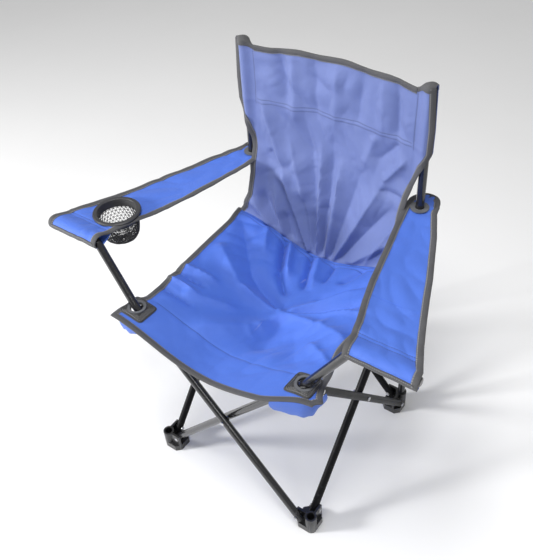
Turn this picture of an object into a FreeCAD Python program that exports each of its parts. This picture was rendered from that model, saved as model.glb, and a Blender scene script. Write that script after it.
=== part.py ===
"""Folding camp chair: four tube scissors between four feet, two back posts, fabric seat, back and armrests.

Frame: +Z up, the sitter faces -Y and has the left armrest on +X. The origin is on the floor under the
chair's middle. Lengths are millimetres. The chair stands open.
"""
import FreeCAD
import Part

import math
import os
import re

from FreeCAD import Placement, Rotation, Vector

SIZES = {
    # frame
    "post_spacing": 385,      # between the axes of the four corners, both ways
    "post_height": 815,
    "tube_size": 16,          # outside diameter of every tube
    "tube_wall": 1,
    "pin_inset": 26,          # rivet of a brace, inward from its corner's axis
    "pin_low": 36,            # rivets in the feet, above the floor
    "pin_high": 425,          # rivets in the sliders and seat brackets
    "tube_tail": 10,          # tube beyond its end rivet
    "tube_gap": 1,            # between two tubes that cross
    "rivet_size": 5,
    "rivet_head": 4.5,        # radius
    "head_thick": 1.8,
    "running_gap": 0.1,       # radial, rivet in a tube
    "face_gap": 0.3,          # between a tube and the lug beside it
    # feet, sliders and brackets
    "lug_thick": 5,
    "lug_reach": 34,          # end of a lug, inward from the corner's axis
    "lug_half": 11,           # lug above and below its rivet
    "base_out": 12,           # foot's base beyond the corner's axis
    "base_high": 16,
    "base_chamfer": 10,
    "boss_radius": 12,
    "boss_top": 46,
    "socket_floor": 8,
    "socket_gap": 0.25,       # radial, post in its socket
    "slide_gap": 0.4,         # radial, post in its slider
    "slider_below": 16,
    "slider_above": 26,
    # front tubes, above the seat brackets
    "knee_rise": 26,          # first bend above the bracket's rivet
    "knee_radius": 60,
    "arm_across": 267,        # second bend, from the middle of the chair
    "arm_height": 569,
    "arm_set_back": 10,       # the front tubes lean this far back above the seat
    "arm_radius": 28,
    "arm_end": 112,           # the straight end in the armrest's sleeve
    "cap_thick": 3,
    # fabric
    "cloth": 2,
    "cloth_gap": 0.5,
    "seat_height": 446,       # at the side edges
    "seat_sag": 50,
    "seat_front": 242,
    "seat_back": 150,
    "seat_side": 205,
    "hole_radius": 21,        # in the seat, round a front tube
    "patch_half": 26,
    "patch_shift": 5,         # inward of the hole's centre
    "grommet_bore": 13,
    "grommet_out": 18,
    "flap_wide": 52,
    "flap_drop": 44,
    "back_high": 800,
    "back_fold": 690,         # below this the back leans forward to the seat
    "back_narrow": 165,       # half width at the seat
    "back_lean": 46,
    "back_sleeve": 130,
    "strap_height": 573,
    "strap_rear": 29,         # half width, round the post
    "strap_tip": 49.5,        # behind the post's axis
    "strap_inner": 249,       # front corners, from the middle of the chair
    "strap_outer": 381,
    "strap_split": 50,        # seam between front panel and strap, ahead of the middle
    "cup_across": 289,
    "cup_forward": 113,
    "cup_bore": 37.5,
    "cup_flange": 46.5,
    "cup_wall": 3,
    "cup_collar": 14,
    "cup_depth": 62,
    "cup_foot": 33,
    "net": 1.2,
}

doc = FreeCAD.newDocument("CampChair")
sheet = doc.addObject("Spreadsheet::Sheet", "Sizes")
for row, (alias, number) in enumerate(SIZES.items(), 1):
    sheet.set(f"A{row}", str(number))
    sheet.setAlias(f"A{row}", alias)
doc.recompute()

nodes = []


def size(alias):
    return float(sheet.get(alias))


def bound(expression):
    """An expression whose names are cells of the sheet."""
    return re.sub(r"[a-z]\w+", lambda word: f"Sizes.{word.group()}" if word.group() in SIZES else word.group(),
                  str(expression))


def bind(obj, **properties):
    for name, expression in properties.items():
        obj.setExpression(name.replace("_", "."), bound(expression))
    return obj


def node(obj, name):
    """Marks an object as a sub-part: its Label names its file."""
    obj.Label = name
    nodes.append(obj)
    return obj


def box(x, y, z):
    """A box between three (low, high) pairs of expressions."""
    return bind(doc.addObject("Part::Box", "Block"),
                Length=f"({x[1]}) - ({x[0]})", Width=f"({y[1]}) - ({y[0]})", Height=f"({z[1]}) - ({z[0]})",
                Placement_Base_x=x[0], Placement_Base_y=y[0], Placement_Base_z=z[0])


TURNED = {"X": Rotation(Vector(0, 1, 0), 90), "Y": Rotation(Vector(1, 0, 0), -90), "Z": Rotation()}


def rod(radius, low, high, axis="Z", x=0, y=0, z=0):
    """A cylinder along an axis, from low to high on it. The other two places are its centre."""
    place = {"X": x, "Y": y, "Z": z}
    place[axis] = low
    bar = doc.addObject("Part::Cylinder", "Rod")
    bar.Placement = Placement(Vector(), TURNED[axis])
    return bind(bar, Radius=radius, Height=f"({high}) - ({low})", Placement_Base_x=place["X"],
                Placement_Base_y=place["Y"], Placement_Base_z=place["Z"])


def joined(*parts):
    if len(parts) == 1:
        return parts[0]
    made = doc.addObject("Part::MultiFuse", "Joined")
    made.Shapes = list(parts)
    return made


def less(base, *tools):
    made = doc.addObject("Part::Cut", "Cut")
    made.Base = base
    made.Tool = joined(*tools)
    return made


def group(*parts):
    """Separate solids that share one node."""
    made = doc.addObject("Part::Compound", "Group")
    made.Links = list(parts)
    return made


def feature(shape, placement=Placement()):
    made = doc.addObject("Part::Feature", "Shape")
    made.Shape = shape
    made.Placement = placement
    return made


def inward(sign, low, high=None):
    """Distances inward from the corner axis at that sign, as a place or a (low, high) pair along X or Y."""
    if high is None:
        return f"{sign} * (post_spacing / 2 - ({low}))"
    pair = (inward(sign, high), inward(sign, low))
    return pair if sign > 0 else pair[::-1]


# Each corner: signs on X and Y, and on which side of its scissor's middle plane each brace lies
# at the foot and at the slider or bracket above it: 1 towards the chair's middle, -1 outwards.
CORNERS = {
    "left_back": (1, 1, {"foot": (1, -1), "top": (-1, 1)}),
    "right_back": (-1, 1, {"foot": (-1, -1), "top": (1, 1)}),
    "left_front": (1, -1, {"foot": (-1, 1), "top": (1, -1)}),
    "right_front": (-1, -1, {"foot": (1, 1), "top": (-1, -1)}),
}
BRACE_SIDE = "(tube_size + tube_gap) / 2"     # a brace's axis from its scissor's middle plane
LUG_FACE = "tube_gap / 2 - face_gap"          # the lug's face from that plane, on the brace's side


def lug(sign_x, sign_y, across, side, pin, start):
    """A lug beside a brace and the hole for its rivet. The rivet runs along across ('Y' or 'X')."""
    flat = (f"-lug_thick + {LUG_FACE}", LUG_FACE) if side > 0 else (f"-({LUG_FACE})", f"lug_thick - ({LUG_FACE})")
    high = (f"{pin} - lug_half", f"{pin} + lug_half - 1")
    along = (start, "lug_reach")
    hole = "rivet_size / 2 + running_gap / 2"
    if across == "Y":
        return (box(inward(sign_x, *along), inward(sign_y, *flat), high),
                rod(hole, *inward(sign_y, -20, 20), "Y", x=inward(sign_x, "pin_inset"), z=pin))
    return (box(inward(sign_x, *flat), inward(sign_y, *along), high),
            rod(hole, *inward(sign_x, -20, 20), "X", y=inward(sign_y, "pin_inset"), z=pin))


def corner_rivet(sign_x, sign_y, across, side, pin):
    """The rivet through a lug and the end of its brace, with a head on each."""
    behind = f"lug_thick - ({LUG_FACE})"
    beyond = "tube_size + tube_gap / 2 + running_gap"
    ends = (f"-({behind})", beyond) if side > 0 else (f"-({beyond})", behind)
    heads = ((f"{ends[0]} - head_thick", ends[0]), (ends[1], f"{ends[1]} + head_thick"))
    sign = sign_y if across == "Y" else sign_x
    where = {"x": inward(sign_x, "pin_inset")} if across == "Y" else {"y": inward(sign_y, "pin_inset")}
    shank = rod("rivet_size / 2", *inward(sign, *ends), across, z=pin, **where)
    return joined(shank, *(rod("rivet_head", *inward(sign, *head), across, z=pin, **where) for head in heads))


def lugs(corner, level, pin, start):
    sign_x, sign_y, sides = CORNERS[corner]
    first, second = sides[level]
    return [lug(sign_x, sign_y, "Y", first, pin, start), lug(sign_x, sign_y, "X", second, pin, start)]


def rivets(corner, level, pin):
    sign_x, sign_y, sides = CORNERS[corner]
    first, second = sides[level]
    return group(corner_rivet(sign_x, sign_y, "Y", first, pin), corner_rivet(sign_x, sign_y, "X", second, pin))


def foot(corner):
    """Moulded foot: a chamfered base, a post socket on the corner's axis and a lug for each brace."""
    sign_x, sign_y, _ = CORNERS[corner]
    base = box(inward(sign_x, "-base_out", "lug_reach"), inward(sign_y, "-base_out", "lug_reach"), (0, "base_high"))
    doc.recompute()
    softened = doc.addObject("Part::Chamfer", "Base")
    softened.Base = base
    cut = size("base_chamfer")
    softened.Edges = [(i, cut, cut) for i, edge in enumerate(base.Shape.Edges, 1)
                      if abs(edge.tangentAt(edge.FirstParameter).z) > 0.9]
    pairs = lugs(corner, "foot", "pin_low", 0)
    plates = [box_to_floor(plate) for plate, _ in pairs]
    place = {"x": inward(sign_x, 0), "y": inward(sign_y, 0)}
    body = joined(softened, rod("boss_radius", 0, "boss_top", **place), *plates)
    socket = rod("tube_size / 2 + socket_gap", "socket_floor", "boss_top + 1", **place)
    return node(less(body, socket, *(hole for _, hole in pairs)), f"{corner}_foot")


def box_to_floor(plate):
    """Runs a lug down into the foot's base."""
    return bind(plate, Height="pin_low + lug_half - 3", Placement_Base_z="2")


def slider(corner):
    """Moulded sleeve that runs on a back post, with a lug for each brace."""
    sign_x, sign_y, _ = CORNERS[corner]
    pairs = lugs(corner, "top", "pin_high", "boss_radius - 3")
    place = {"x": inward(sign_x, 0), "y": inward(sign_y, 0)}
    sleeve = rod("boss_radius", "pin_high - slider_below", "pin_high + slider_above", **place)
    bore = rod("tube_size / 2 + slide_gap", "pin_high - slider_below - 1", "pin_high + slider_above + 1", **place)
    return node(less(joined(sleeve, *(p for p, _ in pairs)), bore, *(h for _, h in pairs)), f"{corner}_slider")


def bracket(corner):
    """Moulded corner bracket that hinges a side brace to a front tube under the seat's corner."""
    sign_x, sign_y, sides = CORNERS[corner]
    pairs = lugs(corner, "top", "pin_high", "-lug_thick" if sides["top"][0] > 0 else f"-({LUG_FACE})")
    return node(less(joined(*(p for p, _ in pairs)), *(h for _, h in pairs)), f"{corner}_bracket")


# ---- braces and front tubes: their rivets lie on one straight line
PIN_ACROSS = size("post_spacing") - 2 * size("pin_inset")
PIN_RISE = size("pin_high") - size("pin_low")
LEAN = math.degrees(math.atan2(PIN_ACROSS, PIN_RISE))
REACH = f"sqrt((post_spacing - 2 * pin_inset)^2 + (pin_high - pin_low)^2)"


def brace_place(corner, across):
    """Placement of a brace whose first rivet is in that corner's foot; it leans to the opposite corner."""
    sign_x, sign_y, sides = CORNERS[corner]
    half, inset = size("post_spacing") / 2, size("pin_inset")
    side = (size("tube_size") + size("tube_gap")) / 2
    first, second = sides["foot"]
    if across == "Y":
        return Placement(Vector(sign_x * (half - inset), sign_y * (half - first * side), size("pin_low")),
                         Rotation(Vector(0, 1, 0), -sign_x * LEAN))
    return Placement(Vector(sign_x * (half - second * side), sign_y * (half - inset), size("pin_low")),
                     Rotation(Vector(1, 0, 0), sign_y * LEAN))


def rivet_holes(across):
    hole = "rivet_size / 2 + running_gap"
    return [rod(hole, "-tube_size", "tube_size", across, z=at) for at in (0, f"{REACH} / 2", REACH)]


def brace(name, corner, across):
    """A straight tube with three rivet holes, made upright at the origin and then leaned."""
    tube = rod("tube_size / 2", "-tube_tail", f"{REACH} + tube_tail")
    bore = rod("tube_size / 2 - tube_wall", "-tube_tail - 1", f"{REACH} + tube_tail + 1")
    made = less(tube, bore, *rivet_holes(across))
    made.Placement = brace_place(corner, across)
    return node(made, name)


def rounded(points, radii):
    """A wire through points, with an arc of the given radius at each inner one."""
    edges, last = [], points[0]
    for before, here, after, radius in zip(points, points[1:], points[2:], radii):
        back, on = (before - here).normalize(), (after - here).normalize()
        trim = radius / math.tan(back.getAngle(on) / 2)
        start, end = here + back * trim, here + on * trim
        inside = (back + on).normalize()
        middle = here + inside * (math.hypot(radius, trim) - radius)
        edges += [Part.makeLine(last, start), Part.Arc(start, middle, end).toShape()]
        last = end
    return Part.Wire(edges + [Part.makeLine(last, points[-1])])


def swept(path, radius):
    """A round bar along a wire."""
    edge = path.Edges[0]
    circle = Part.Wire(Part.makeCircle(radius, edge.valueAt(edge.FirstParameter), edge.tangentAt(edge.FirstParameter)))
    return path.makePipeShell([circle], True, True)


def front_tube(name, corner):
    """A front leg that crosses to the far seat corner, passes up through the seat and ends under the armrest."""
    sign_x, sign_y, sides = CORNERS[corner]
    far = -sign_x
    y = brace_place(corner, "Y").Base.y
    half, inset = size("post_spacing") / 2, size("pin_inset")
    lean = Vector(far * PIN_ACROSS, 0, PIN_RISE).normalize()
    foot_pin = Vector(sign_x * (half - inset), y, size("pin_low"))
    top_pin = Vector(far * (half - inset), y, size("pin_high"))
    knee = top_pin + lean * (size("knee_rise") / lean.z)
    arm = Vector(far * size("arm_across"), y + size("arm_set_back"), size("arm_height"))
    points = [foot_pin - lean * size("tube_tail"), knee, arm, arm + Vector(far * size("arm_end"), 0, 0)]
    path = rounded(points, [size("knee_radius"), size("arm_radius")])
    radius = size("tube_size") / 2
    shape = swept(path, radius).cut(swept(path, radius - size("tube_wall")))
    middle = (foot_pin + top_pin) / 2
    for pin in (foot_pin, middle, top_pin):
        shape = shape.cut(Part.makeCylinder(size("rivet_size") / 2 + size("running_gap"), 2 * size("tube_size"),
                                            pin - Vector(0, size("tube_size"), 0), Vector(0, 1, 0)))
    return node(feature(shape), name)


def post(corner):
    """A straight back post that stands in its foot's socket."""
    sign_x, sign_y, _ = CORNERS[corner]
    place = {"x": inward(sign_x, 0), "y": inward(sign_y, 0)}
    tube = rod("tube_size / 2", "socket_floor", "post_height", **place)
    bore = rod("tube_size / 2 - tube_wall", "socket_floor - 1", "post_height + 1", **place)
    return node(less(tube, bore), f"{corner}_post")


def revolved(name, outline, placement):
    """A PartDesign body: an outline of (radius, height) corners turned round its own Z axis."""
    body = doc.addObject("PartDesign::Body", "Turned")
    sketch = body.newObject("Sketcher::SketchObject", "Profile")
    plane = next(f for f in body.Origin.OriginFeatures if f.Role == "XZ_Plane")
    sketch.AttachmentSupport, sketch.MapMode = [(plane, "")], "FlatFace"
    corners = [Vector(r, z, 0) for r, z in outline]
    for start, end in zip(corners, corners[1:] + corners[:1]):
        sketch.addGeometry(Part.LineSegment(start, end), False)
    turn = body.newObject("PartDesign::Revolution", "Turn")
    turn.Profile = sketch
    turn.ReferenceAxis = (sketch, ["V_Axis"])
    turn.Angle = 360
    body.Tip = turn
    body.Placement = placement
    return node(body, name)


def plug(name, place, turn=Rotation()):
    """A moulded plug in a tube's open end: a domed head and a shorter spigot."""
    radius, wall, head = size("tube_size") / 2, size("tube_wall"), size("cap_thick")
    spigot = radius - wall - size("running_gap") / 2
    outline = [(0, -14), (spigot - 1, -14), (spigot, -12), (spigot, 0), (radius, 0), (radius, head / 2),
               (radius - 2, head), (0, head)]
    return revolved(name, outline, Placement(place, turn))


def crossing(name, across, sign):
    """The rivet at the middle of a scissor, and the washer between its two tubes."""
    half = "post_spacing / 2"
    mid = "(pin_low + pin_high) / 2"
    reach = "tube_size + tube_gap / 2 + running_gap"
    ends = (f"{sign} * {half} - ({reach})", f"{sign} * {half} + {reach}")
    shank = rod("rivet_size / 2", *ends, across, z=mid)
    heads = [rod("rivet_head", f"{ends[0]} - head_thick", ends[0], across, z=mid),
             rod("rivet_head", ends[1], f"{ends[1]} + head_thick", across, z=mid)]
    flat = (f"{sign} * {half} - tube_gap * 0.4", f"{sign} * {half} + tube_gap * 0.4")
    washer = less(rod("rivet_head + 1", *flat, across, z=mid),
                  rod("rivet_size / 2 + running_gap", f"{flat[0]} - 1", f"{flat[1]} + 1", across, z=mid))
    node(group(joined(shank, *heads), washer), f"{name}_rivet")


# ---- fabric: plain closed solids
def tube_hole(side, radius, low, high):
    """An upright hole round the front tube that comes up at that side, as a shape."""
    corner = "right_front" if side > 0 else "left_front"
    y = brace_place(corner, "Y").Base.y
    x = PIN_ACROSS / 2 + (size("seat_height") - size("pin_high")) * PIN_ACROSS / PIN_RISE
    return Part.makeCylinder(radius, high - low, Vector(side * x, y, low))


def seat_rise(x):
    """Height of the seat's upper face at a distance from the chair's middle line."""
    return size("seat_height") - size("seat_sag") * (1 + math.cos(math.pi * x / size("seat_side"))) / 2


def across_seat(start, end, y, drop=0.0):
    """A smooth edge along the seat's upper face, lowered by drop."""
    curve = Part.BSplineCurve()
    curve.interpolate([Vector(x, y, seat_rise(x) - drop) for x in (start + (end - start) * i / 8 for i in range(9))])
    return curve.toShape()


def seat_half(name, side):
    """Half of the seat, from the middle to a side edge."""
    edge, cloth, front = size("seat_side"), size("cloth"), -size("seat_front")
    middle = 0.25
    upper, lower = across_seat(middle, edge, front), across_seat(middle, edge, front, cloth)
    ends = [Part.makeLine(Vector(x, front, seat_rise(x) - cloth), Vector(x, front, seat_rise(x)))
            for x in (middle, edge)]
    shape = Part.Face(Part.Wire([lower, ends[1], upper, ends[0]])).extrude(Vector(0, size("seat_back") - front, 0))
    if side < 0:
        shape = shape.mirror(Vector(), Vector(1, 0, 0))
    return node(feature(shape.cut(tube_hole(side, size("hole_radius"), 300, 600))), name)


def ring_of(outer, inner, low, high, x, y):
    return Part.makeCylinder(outer, high - low, Vector(x, y, low)).cut(
        Part.makeCylinder(inner, high - low, Vector(x, y, low)))


def patch(side):
    """The square patch on a seat corner and the round grommet in it, both round the front tube."""
    name = "left" if side > 0 else "right"
    low = size("seat_height") + size("cloth_gap")
    centre = tube_hole(side, 1, 0, 1).CenterOfMass
    half, bore = size("patch_half"), size("grommet_bore")
    inner = centre.x - side * size("patch_shift") - half
    square = Part.makeBox(2 * half, 2 * half, size("cloth"), Vector(inner, centre.y - half, low))
    node(feature(square.cut(tube_hole(side, size("grommet_out") + 0.3, 300, 600))), f"{name}_seat_patch")
    ring = ring_of(size("grommet_out"), bore, low, low + size("cloth") + 1, centre.x, centre.y)
    node(feature(ring), f"{name}_seat_grommet")


def flap(side):
    """The hanging corner of cloth that hides a seat bracket, on its front and outer faces."""
    name = "left" if side > 0 else "right"
    cloth, drop, wide = size("cloth"), size("flap_drop"), size("flap_wide")
    out, front = size("seat_side") + 6, size("seat_front") - 6
    top = seat_rise(out - wide) - cloth - size("cloth_gap")
    face = Part.makeBox(wide, cloth, drop, Vector(out - wide, -front, top - drop))
    cheek = Part.makeBox(cloth, 40, drop, Vector(out - cloth, -front, top - drop))
    shape = face.fuse(cheek)
    if side < 0:
        shape = shape.mirror(Vector(), Vector(1, 0, 0))
    node(feature(shape), f"{name}_corner_flap")


def rear_tie(side):
    """The webbing tie that holds a rear corner of the seat to its slider."""
    name = "left" if side > 0 else "right"
    front = size("seat_back") + size("cloth_gap")
    rear = size("post_spacing") / 2 - size("boss_radius") - 0.3
    low = size("pin_high") + 18
    node(feature(Part.makeBox(20, rear - front, 3, Vector(side * size("post_spacing") / 2 - 10, front, low))),
         f"{name}_rear_tie")


def back_panel():
    """The back between the two posts, leaning forward to the seat, with a sleeve round each post's top."""
    half, cloth = size("post_spacing") / 2, size("cloth")
    bore = size("tube_size") / 2 + size("cloth_gap")
    wide, narrow = half - bore - cloth, size("back_narrow")
    top, fold = size("back_high"), size("back_fold")
    bottom, forward = size("seat_height") - size("seat_sag") - 20, half - size("back_lean")
    side_view = [(half, top), (half, fold), (forward, bottom), (forward - cloth, bottom), (half - cloth, fold),
                 (half - cloth, top)]
    strip = Part.Face(Part.makePolygon([Vector(-half, y, z) for y, z in side_view + side_view[:1]]))
    strip = strip.extrude(Vector(2 * half, 0, 0))
    low_edge = [Vector(x, 0, seat_rise(x) + size("cloth_gap")) for x in (-narrow, narrow)]
    neck = fold - 90
    edges = [across_seat(-narrow, narrow, 0, -size("cloth_gap"))]
    rim = [low_edge[1], Vector(narrow, 0, neck), Vector(wide, 0, fold), Vector(wide, 0, top), Vector(-wide, 0, top),
           Vector(-wide, 0, fold), Vector(-narrow, 0, neck), low_edge[0]]
    edges += [Part.makeLine(a, b) for a, b in zip(rim, rim[1:])]
    outline = Part.Face(Part.Wire(edges)).extrude(Vector(0, 2 * half, 0))
    node(feature(strip.common(outline)), "back_panel")
    for side, name in ((1, "left"), (-1, "right")):
        low = size("post_height") - size("back_sleeve")
        sleeve = ring_of(bore + cloth - 0.3, bore, low, size("post_height") - 2, side * half, half)
        node(feature(sleeve), f"{name}_back_sleeve")


def armrest(side):
    """A strap from the back post's grommet to the sleeve on the front tube's end."""
    name = "left" if side > 0 else "right"
    half, cloth, low = size("post_spacing") / 2, size("cloth"), size("strap_height")
    rear, inner, outer = size("strap_rear"), size("strap_inner"), size("strap_outer")
    tube_y = brace_place("right_front" if side > 0 else "left_front", "Y").Base.y + size("arm_set_back")
    sleeve_out = size("tube_size") / 2 + size("cloth_gap") + cloth
    front = tube_y + sleeve_out - 0.4
    outline = [Vector(half - rear, half, low), Vector(inner - 22, front + 60, low), Vector(inner, front, low),
               Vector(outer, front, low), Vector(outer - 34, front + 90, low), Vector(half + rear, half, low)]
    edges = [Part.makeLine(a, b) for a, b in zip(outline, outline[1:])]
    edges.append(Part.Arc(outline[-1], Vector(half, half + size("strap_tip"), low), outline[0]).toShape())
    shape = Part.Face(Part.Wire(edges)).extrude(Vector(0, 0, cloth))
    bore = size("tube_size") / 2 + 0.6
    shape = shape.cut(Part.makeCylinder(bore + 1.8, 10, Vector(half, half, low - 5)))
    if side < 0:
        shape = shape.cut(Part.makeCylinder(size("cup_bore") + size("cup_wall") + size("cloth_gap"), 10,
                                            Vector(size("cup_across"), -size("cup_forward"), low - 5)))
        shape = shape.mirror(Vector(), Vector(1, 0, 0))
    seam, far = -size("strap_split"), 1000
    ahead = Part.makeBox(2 * far, far, far, Vector(-far, seam - far, 0))
    behind = Part.makeBox(2 * far, far, far, Vector(-far, seam + size("cloth_gap"), 0))
    node(feature(shape.common(ahead)), f"{name}_armrest")
    node(feature(shape.common(behind)), f"{name}_arm_strap")
    ring = ring_of(bore + 9, bore, low + cloth + 0.3, low + cloth + 2.3, side * half, half).fuse(
        ring_of(bore + 1.5, bore, low - 1, low + cloth + 0.3, side * half, half)).removeSplitter()
    node(feature(ring), f"{name}_arm_grommet")
    start = size("arm_across") + size("arm_radius") - 6
    end = size("arm_across") + size("arm_end") + size("cap_thick") + 2
    bar = Part.makeCylinder(sleeve_out, end - start, Vector(side * start, tube_y, size("arm_height")),
                            Vector(side, 0, 0))
    hole = Part.makeCylinder(size("tube_size") / 2 + size("cloth_gap"), end - start,
                             Vector(side * start, tube_y, size("arm_height")), Vector(side, 0, 0))
    node(feature(bar.cut(hole)), f"{name}_arm_sleeve")


def cup_holder():
    """A flanged ring in the right armrest and the net cup that hangs from its collar."""
    x, y = -size("cup_across"), -size("cup_forward")
    top, bore = size("strap_height") + size("cloth"), size("cup_bore")
    wall, flange = bore + size("cup_wall"), size("cup_flange")
    collar = -size("cup_collar")
    revolved("cup_ring", [(bore, collar), (wall, collar), (wall, 0.3), (flange, 0.3), (flange, 2), (flange - 2, 3.8),
                          (bore + 1, 3.8), (bore, 2.8)], Placement(Vector(x, y, top), Rotation()))
    net, depth, foot_radius = size("net"), -size("cup_depth"), size("cup_foot")
    inner = wall + 0.3
    drop = -size("cloth") - 0.3
    revolved("cup_net", [(inner, drop), (inner + net, drop), (inner + net, collar), (foot_radius + net, depth - net),
                         (0, depth - net), (0, depth), (foot_radius, depth), (inner, collar)],
             Placement(Vector(x, y, top), Rotation()))


# ---- the whole chair
for corner, (sign_x, sign_y, _) in CORNERS.items():
    foot(corner)
    node(rivets(corner, "foot", "pin_low"), f"{corner}_foot_rivets")
    node(rivets(corner, "top", "pin_high"), f"{corner}_top_rivets")
    if sign_y > 0:
        slider(corner)
        post(corner)
        at_top = Vector(sign_x * size("post_spacing") / 2, size("post_spacing") / 2, size("post_height"))
        plug(f"{corner}_post_cap", at_top)
    else:
        bracket(corner)

brace("back_brace_inner", "left_back", "Y")
brace("back_brace_outer", "right_back", "Y")
for hand in ("left", "right"):
    brace(f"{hand}_side_brace_outer", f"{hand}_back", "X")
    brace(f"{hand}_side_brace_inner", f"{hand}_front", "X")
front_tube("left_arm_tube", "right_front")
front_tube("right_arm_tube", "left_front")
for side, name, corner in ((1, "left", "right_front"), (-1, "right", "left_front")):
    tip = Vector(side * (size("arm_across") + size("arm_end")),
                 brace_place(corner, "Y").Base.y + size("arm_set_back"), size("arm_height"))
    plug(f"{name}_arm_cap", tip, Rotation(Vector(0, 1, 0), 90 * side))
for name, across, sign in (("back_crossing", "Y", 1), ("front_crossing", "Y", -1),
                           ("left_crossing", "X", 1), ("right_crossing", "X", -1)):
    crossing(name, across, sign)

back_panel()
cup_holder()
for side, name in ((1, "left"), (-1, "right")):
    seat_half(f"{name}_seat_half", side)
    patch(side)
    flap(side)
    rear_tie(side)
    armrest(side)

doc.recompute()
failed = [obj.Label for obj in doc.Objects if {"Invalid", "Error"} & set(obj.State)]
bad = [obj.Label for obj in nodes if obj.Shape.isNull() or not obj.Shape.isValid() or not obj.Shape.Solids]
if failed or bad:
    raise RuntimeError(f"failed: {failed}, bad shapes: {bad}")
os.makedirs("parts", exist_ok=True)
for obj in nodes:
    obj.Shape.exportStep(f"parts/{obj.Label}.step")
print(f"{len(nodes)} nodes, lean {LEAN:.3f} degrees")
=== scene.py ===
# %% [markdown]
# # A folding camp chair
#
# The real chair is sixteen-millimetre black steel tube in four scissors, hung with blue polyester cloth.
# The tubes, feet, sliders and rivets come in from the CAD model and are never moved here. What this script
# makes is everything soft, because cloth is where the CAD solids stop being useful: the seat, the back,
# the armrests, the tape on their edges and the net under the cup ring.

# %% Load the frame
import math

import bpy
import numpy as np
from mathutils import Matrix, Vector


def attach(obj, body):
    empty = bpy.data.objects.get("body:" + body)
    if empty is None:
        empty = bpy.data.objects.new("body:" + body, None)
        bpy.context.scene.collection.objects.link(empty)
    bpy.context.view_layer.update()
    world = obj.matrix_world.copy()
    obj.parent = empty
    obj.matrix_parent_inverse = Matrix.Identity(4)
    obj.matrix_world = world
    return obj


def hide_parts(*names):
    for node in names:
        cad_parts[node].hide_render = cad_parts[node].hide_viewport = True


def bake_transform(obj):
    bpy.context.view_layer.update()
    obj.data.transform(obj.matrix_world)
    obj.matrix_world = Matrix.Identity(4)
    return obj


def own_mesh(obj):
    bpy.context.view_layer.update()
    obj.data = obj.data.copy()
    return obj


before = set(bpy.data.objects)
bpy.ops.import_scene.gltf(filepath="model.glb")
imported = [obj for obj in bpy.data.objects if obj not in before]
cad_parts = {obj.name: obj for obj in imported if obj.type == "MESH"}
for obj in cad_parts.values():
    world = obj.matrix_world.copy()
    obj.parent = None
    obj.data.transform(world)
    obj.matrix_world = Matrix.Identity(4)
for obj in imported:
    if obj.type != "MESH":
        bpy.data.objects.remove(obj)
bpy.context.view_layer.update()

# %% [markdown]
# ## Sizes
#
# All lengths are metres. A corner is the axis of a post or of the front feet, the same distance from the
# middle both ways. The cloth is measured from those corners and from the tubes that carry it.

# %% Sizes of the chair
CORNER = 0.1925          # post axes, from the middle
SEAT_TOP = 0.446         # seat's side edges
SEAT_SIDE = 0.205
SEAT_FRONT, SEAT_REAR = -0.242, 0.150
SEAT_SAG = 0.060
BACK_TOP = 0.816
ARM_TOP = 0.5745
CUP = Vector((-0.289, -0.113, 0.575))
SEAT_TUBE_Y = {1: -0.184, -1: -0.201}    # left and right front tubes pass each other
ARM_TUBE_Y = {1: -0.174, -1: -0.191}     # and lean back above the seat
CLOTH = 0.0012
BACK_SEAM = 0.168        # upright seams of the post sleeves
BAND_ROWS = (0.704, 0.697)
FRONT_ROW = 0.077        # from the seat's front edge to its sewn row
ARM_ROWS = (0.026, 0.033)
CUP_HOLE = 0.0430
PATCH_HALF = 0.0262
SIDES = ((1, "left"), (-1, "right"))

# %% [markdown]
# ## The camera
#
# A lens a little longer than normal, from above the sitter's left knee and slightly rolled. The roll is
# put on last, about the camera's own line of sight, so that it doesn't disturb the two other angles.

# %% Camera
def look(azimuth, elevation, roll):
    """A rotation that looks down from an azimuth and elevation, in degrees."""
    turn = Matrix.Rotation(math.radians(azimuth), 3, "Z")
    tilt = Matrix.Rotation(math.radians(90 - elevation), 3, "X")
    return (turn @ tilt @ Matrix.Rotation(-math.radians(roll), 3, "Z")).to_euler()


bpy.ops.object.camera_add(location=(0.6338, -0.8202, 1.3853), rotation=look(38.89, 41.96, 4.64))
camera = bpy.context.object
camera.data.lens = 46.51
camera.data.sensor_width = 36
bpy.context.scene.camera = camera
print("camera lens:", camera.data.lens)

# %% [markdown]
# ## Light and floor
#
# The main light stands low at the front right, so that it rakes across the folds of the cloth. A softer one
# overhead lifts the seat and the foot of the back, and a bright world fills the shadows, as a white studio
# does.

# %% Light and floor
def area_light(name, place, aim, size, power):
    """A square soft light at a place, turned to face its aim."""
    bpy.ops.object.light_add(type="AREA", location=place)
    lamp = bpy.context.object
    lamp.name = name
    lamp.data.size = size
    lamp.data.energy = power
    lamp.rotation_euler = (Vector(aim) - Vector(place)).to_track_quat("-Z", "Y").to_euler()
    return lamp


area_light("window", (-1.9, -1.9, 1.2), (0, 0, 0.45), 0.45, 76)
area_light("overhead", (0.1, -0.5, 2.6), (0, 0, 0.4), 0.9, 36)
area_light("right_side", (2.0, -0.9, 1.1), (0, 0, 0.4), 0.5, 5)
world = bpy.data.worlds.new("white_room")
world.use_nodes = True
world.node_tree.nodes["Background"].inputs["Color"].default_value = (1, 1, 1, 1)
world.node_tree.nodes["Background"].inputs["Strength"].default_value = 0.42
bpy.context.scene.world = world
bpy.context.scene.view_settings.view_transform = "Standard"
bpy.ops.mesh.primitive_plane_add(size=12, location=(0, 0, -0.0005))
floor = bpy.context.object
floor.name = "floor"

# %% [markdown]
# ## A shorthand for shader maths
#
# A pattern such as a weave is a formula on a surface position. Adding its Math nodes by hand hides the
# formula, so a small class lets a node's output be added and multiplied like a number.

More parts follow.
